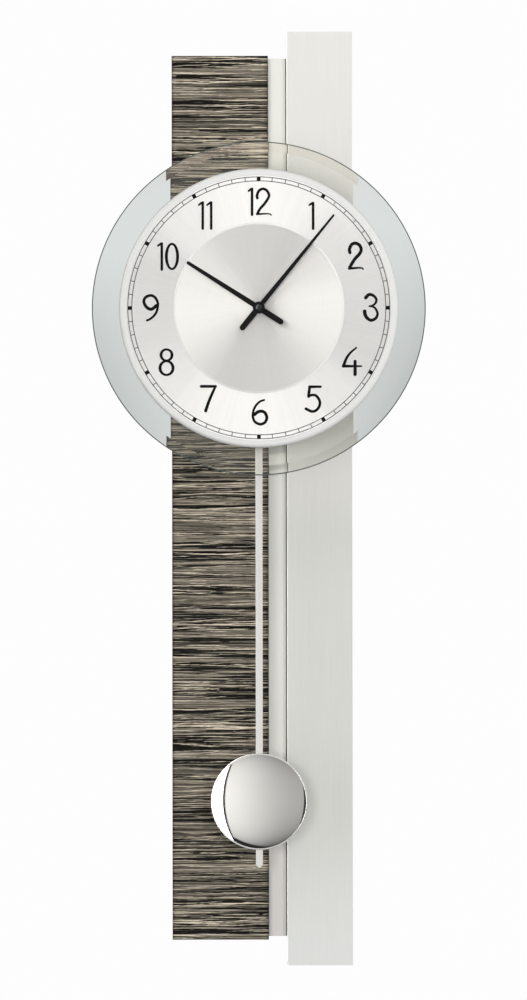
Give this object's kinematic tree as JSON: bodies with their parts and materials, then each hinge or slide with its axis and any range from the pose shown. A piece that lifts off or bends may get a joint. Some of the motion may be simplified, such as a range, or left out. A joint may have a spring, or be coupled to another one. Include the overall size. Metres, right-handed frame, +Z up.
{
  "type": "pendulum wall clock",
  "caption": "Wall clock with a round silver dial on a bevelled glass disc, in front of a tall veneered panel and a tall brushed aluminium panel, and a swinging pendulum with a chrome bob.",
  "frame": {"origin": "centre of the round hole of the keyhole in the hanger plate, on the plate's wall side", "axes": "+Z up, +X to the right seen from the front, the front faces -Y and the wall is towards +Y"},
  "size_m": [0.236, 0.0906, 0.67],
  "materials": {
    "board_black": "black lacquered fibreboard",
    "strip_silver": "glossy silver",
    "fibreboard": "raw fibreboard",
    "veneer": "matt grey-brown cross-grain veneer",
    "brushed_aluminium": "fine vertical brushing, satin",
    "zinc_screw": "zinc plated",
    "zinc_plate": "zinc-plated sheet",
    "black_rubber": "matt",
    "felt": "pressed felt",
    "clear_glass": "polished clear glass with a cut bevel",
    "steel": "bright steel",
    "brass": "machined",
    "white_foam": "closed-cell foam",
    "dial_silver": "fine-grained silver-white lacquer",
    "spun_silver": "circular spun silver",
    "case_black": "moulded",
    "gear_plastic": "moulded acetal",
    "iron": "soft iron",
    "copper": "enamelled copper winding",
    "board_green": "solder mask",
    "crystal_can": "nickel can",
    "cell_sleeve": "printed sleeve, plain",
    "magnet": "sintered magnet",
    "hand_black": "satin black",
    "rod_silver": "satin",
    "bob_chrome": "polished chrome",
    "bob_steel": "pressed steel"
  },
  "bodies": {
    "root": {"back_board": "board_black", "silver_strip": "strip_silver", "wood_panel_core": "fibreboard", "aluminium_panel_core": "fibreboard", "wood_veneer": "veneer", "aluminium_sheet": "brushed_aluminium", "panel_screws": "zinc_screw", "hanger_screws": "zinc_screw", "bracket_screws": "zinc_screw", "hanger_plate": "zinc_plate", "movement_bracket": "zinc_plate", "wall_bumpers": "black_rubber", "rubber_gasket": "black_rubber", "felt_washer": "felt", "glass_disc": "clear_glass", "centre_washer": "steel", "lever_pin": "steel", "battery_contact_pos": "steel", "battery_contact_neg": "steel", "centre_nut": "brass", "dial_spacer": "white_foam", "dial_pan": "dial_silver", "centre_disc": "spun_silver", "movement_front_case": "case_black", "movement_rear_case": "case_black", "train_plate": "gear_plastic", "stator": "iron", "coil_core": "iron", "stepper_coil": "copper", "pendulum_coil": "copper", "circuit_board": "board_green", "quartz_crystal": "crystal_can", "battery": "cell_sleeve"},
    "minute": {"minute_arbor": "brass", "clutch_spring": "steel", "minute_hand": "hand_black", "hand_cap": "hand_black"},
    "hour": {"hour_wheel": "gear_plastic", "hour_hand": "hand_black"},
    "setting_wheel": {"minute_wheel": "gear_plastic", "set_knob": "case_black"},
    "centre_wheel_body": {"centre_wheel": "gear_plastic"},
    "third_wheel_body": {"third_wheel": "gear_plastic"},
    "fourth_wheel_body": {"fourth_wheel": "gear_plastic"},
    "intermediate_wheel_body": {"intermediate_wheel": "gear_plastic"},
    "rotor_body": {"rotor": "gear_plastic", "rotor_magnet": "magnet"},
    "pendulum": {"pendulum_lever": "gear_plastic", "lever_magnet": "magnet", "pendulum_rod": "rod_silver"},
    "bob": {"bob_front": "bob_chrome", "bob_back": "bob_steel", "bob_clip": "case_black"}
  },
  "joints": [
    {"name": "minute_spin", "type": "hinge", "parent": "root", "child": "minute", "pos_m": [0, -0.05, -0.15], "axis": [0, 1, 0], "continuous": true},
    {"name": "hour_spin", "type": "hinge", "parent": "root", "child": "hour", "pos_m": [0, -0.05, -0.15], "axis": [0, 1, 0], "continuous": true},
    {"name": "set_knob_spin", "type": "hinge", "parent": "root", "child": "setting_wheel", "pos_m": [0.01128, -0.05, -0.1541], "axis": [0, 1, 0], "continuous": true},
    {"name": "rotor_spin", "type": "hinge", "parent": "root", "child": "rotor_body", "pos_m": [0.01071, -0.05, -0.13554], "axis": [0, 1, 0], "continuous": true},
    {"name": "intermediate_spin", "type": "hinge", "parent": "root", "child": "intermediate_wheel_body", "pos_m": [0.00395, -0.05, -0.13308], "axis": [0, 1, 0], "continuous": true},
    {"name": "fourth_spin", "type": "hinge", "parent": "root", "child": "fourth_wheel_body", "pos_m": [-0.00395, -0.05, -0.13595], "axis": [0, 1, 0], "continuous": true},
    {"name": "third_spin", "type": "hinge", "parent": "root", "child": "third_wheel_body", "pos_m": [-0.00935, -0.05, -0.1446], "axis": [0, 1, 0], "continuous": true},
    {"name": "centre_spin", "type": "hinge", "parent": "root", "child": "centre_wheel_body", "pos_m": [0, -0.05, -0.15], "axis": [0, 1, 0], "continuous": true},
    {"name": "pendulum_swing", "type": "hinge", "parent": "root", "child": "pendulum", "pos_m": [0, -0.05, -0.187], "axis": [0, 1, 0], "range_deg": [-6, 6]},
    {"name": "bob_slide", "type": "slide", "parent": "pendulum", "child": "bob", "axis": [0, 0, 1], "range_m": [-0.008, 0.008]}
  ],
  "couplings": [
    {"joint": "hour_spin", "follows": "minute_spin", "ratio": 0.083333},
    {"joint": "set_knob_spin", "follows": "minute_spin", "ratio": -0.33333},
    {"joint": "intermediate_spin", "follows": "rotor_spin", "ratio": -0.2},
    {"joint": "fourth_spin", "follows": "rotor_spin", "ratio": 0.033333},
    {"joint": "third_spin", "follows": "rotor_spin", "ratio": -0.0044444},
    {"joint": "centre_spin", "follows": "rotor_spin", "ratio": 0.00055556}
  ]
}
